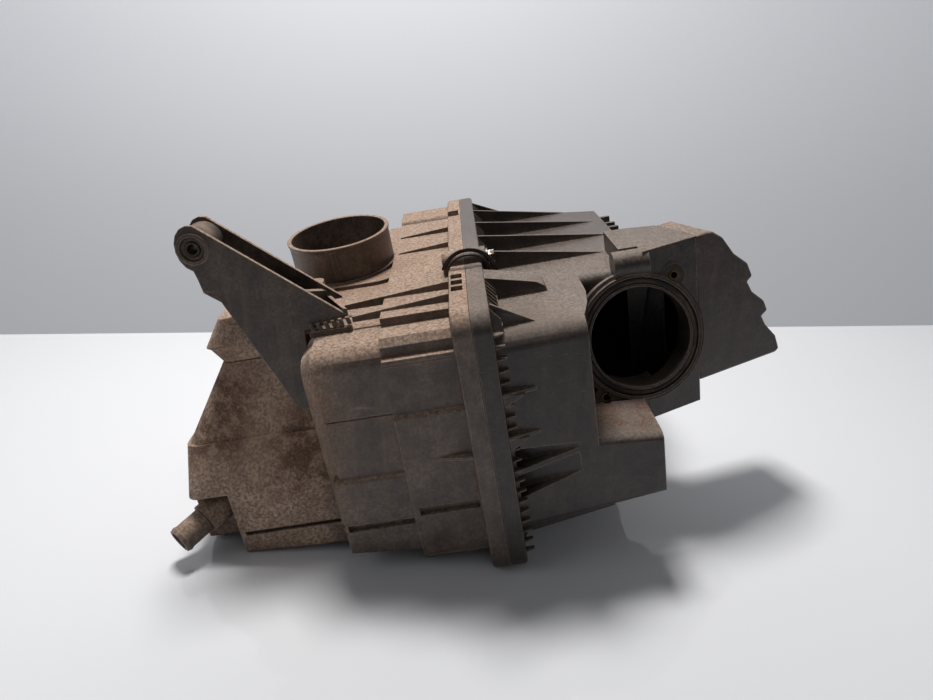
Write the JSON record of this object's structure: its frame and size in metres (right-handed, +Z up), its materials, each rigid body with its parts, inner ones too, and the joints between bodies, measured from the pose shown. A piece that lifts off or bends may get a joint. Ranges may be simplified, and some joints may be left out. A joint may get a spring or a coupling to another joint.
{
  "type": "air filter housing",
  "caption": "Two-part plastic air filter housing with pleated filter, round inlet and outlet ports, drain stub, side resonator and a mounting arm.",
  "frame": {"origin": "centre of the bounding box footprint, on the surface the housing rests on", "axes": "+X towards the cover side and the resonator, +Y away from the near side with the outlet, +Z up; the joint plane leans 8.9 degrees from vertical"},
  "size_m": [0.4904, 0.3866, 0.2511],
  "materials": {
    "housing_plastic": "moulded, dusty",
    "port_plastic": "moulded, caked with dust",
    "black_rubber": "dull",
    "seal_foam": "soft, matte",
    "filter_paper": "pleated paper",
    "screw_steel": "zinc plated, tarnished",
    "insert_brass": "turned"
  },
  "bodies": {
    "case": {"lower_case": "housing_plastic", "inlet_stub": "port_plastic", "drain_stub": "port_plastic", "mounting_arm": "housing_plastic", "arm_bushing": "black_rubber", "arm_sleeve": "screw_steel", "cover_insert_1": "insert_brass", "cover_insert_2": "insert_brass", "cover_insert_3": "insert_brass"},
    "cover": {"upper_cover": "housing_plastic", "resonator_shell": "housing_plastic", "outlet_seal": "black_rubber", "outlet_insert_1": "insert_brass", "outlet_insert_2": "insert_brass"},
    "filter": {"filter_seal": "seal_foam", "filter_media": "filter_paper", "filter_screen": "housing_plastic"},
    "screw_1": {"cover_screw_1": "screw_steel"},
    "screw_2": {"cover_screw_2": "screw_steel"},
    "screw_3": {"cover_screw_3": "screw_steel"}
  },
  "joints": [
    {"name": "cover_release", "type": "slide", "parent": "case", "child": "cover", "axis": [0.9879, 0, 0.155], "range_m": [0, 0.06]},
    {"name": "filter_release", "type": "slide", "parent": "case", "child": "filter", "axis": [0.9879, 0, 0.155], "range_m": [0, 0.03]},
    {"name": "screw_1_turn", "type": "hinge", "parent": "cover", "child": "screw_1", "pos_m": [-0.00487, -0.0733, 0.21023], "axis": [0.9879, 0, 0.155], "continuous": true},
    {"name": "screw_2_turn", "type": "hinge", "parent": "cover", "child": "screw_2", "pos_m": [0.00257, 0.1847, 0.16281], "axis": [0.9879, 0, 0.155], "continuous": true},
    {"name": "screw_3_turn", "type": "hinge", "parent": "cover", "child": "screw_3", "pos_m": [0.01839, 0.1847, 0.06204], "axis": [0.9879, 0, 0.155], "continuous": true}
  ],
  "couplings": [
    {"joint": "filter_release", "follows": "cover_release", "ratio": 0.5}
  ]
}
